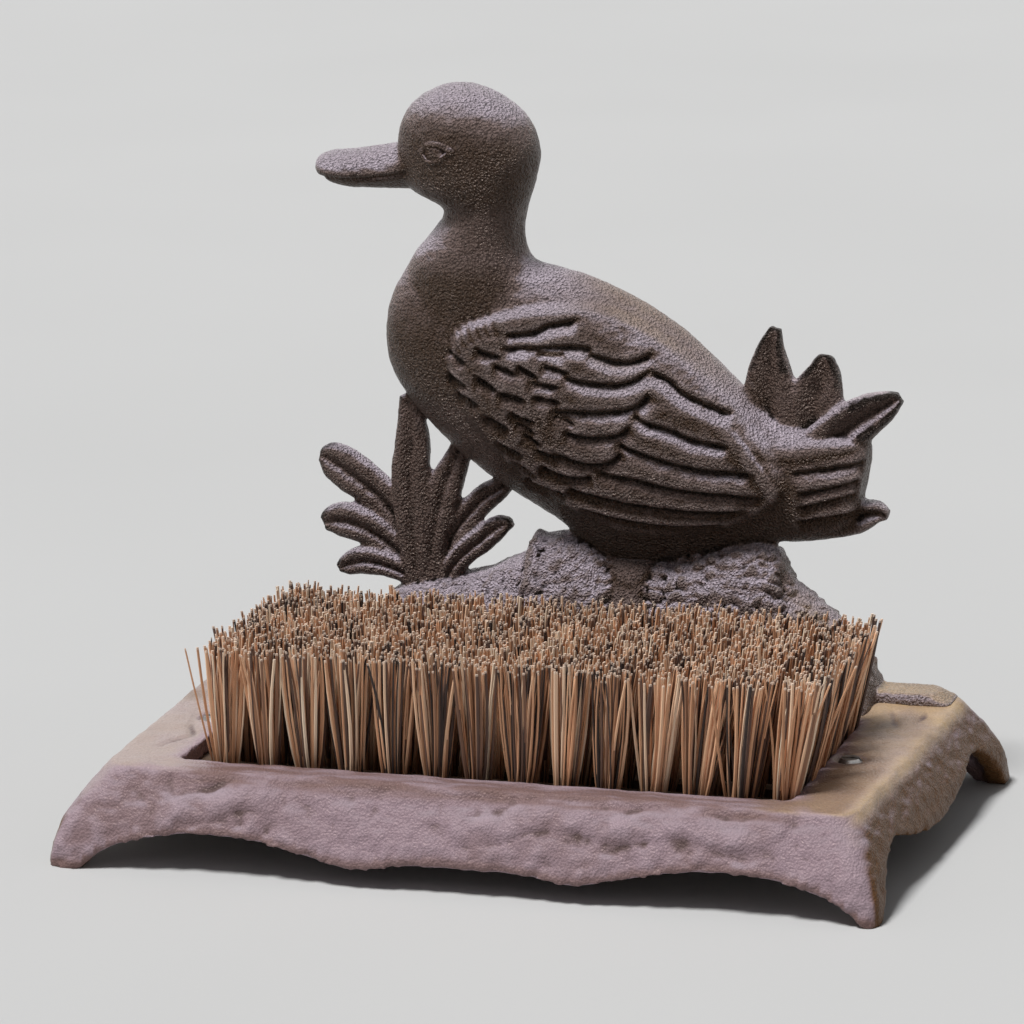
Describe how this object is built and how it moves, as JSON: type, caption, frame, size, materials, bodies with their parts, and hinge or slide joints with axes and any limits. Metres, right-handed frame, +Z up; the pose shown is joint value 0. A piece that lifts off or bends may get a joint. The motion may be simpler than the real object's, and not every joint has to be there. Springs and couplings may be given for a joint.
{
  "type": "boot brush",
  "caption": "Cast boot brush: a scalloped frame on corner toes holds a bristle brush, with a duck on a rocky mound bolted to its back rail.",
  "frame": {"origin": "on the ground, in the middle of the four toes", "axes": "+X along the front rail to the right, +Y from the front rail to the duck, +Z up"},
  "size_m": [0.296, 0.168, 0.246],
  "materials": {
    "iron": "rough cast, dark brown",
    "stock_wood": "plain sawn",
    "bristle": "stiff plant fibre, pale cut tips",
    "steel": "plain zinc grey"
  },
  "bodies": {
    "root": {"base_frame": "iron", "duck_figure": "iron", "brush_stock": "stock_wood", "bristle_row_1": "bristle", "bristle_row_2": "bristle", "bristle_row_3": "bristle", "bristle_row_4": "bristle", "bristle_row_5": "bristle", "bristle_row_6": "bristle", "brush_screws": "steel", "duck_bolts": "steel", "duck_washers": "steel"}
  },
  "joints": []
}
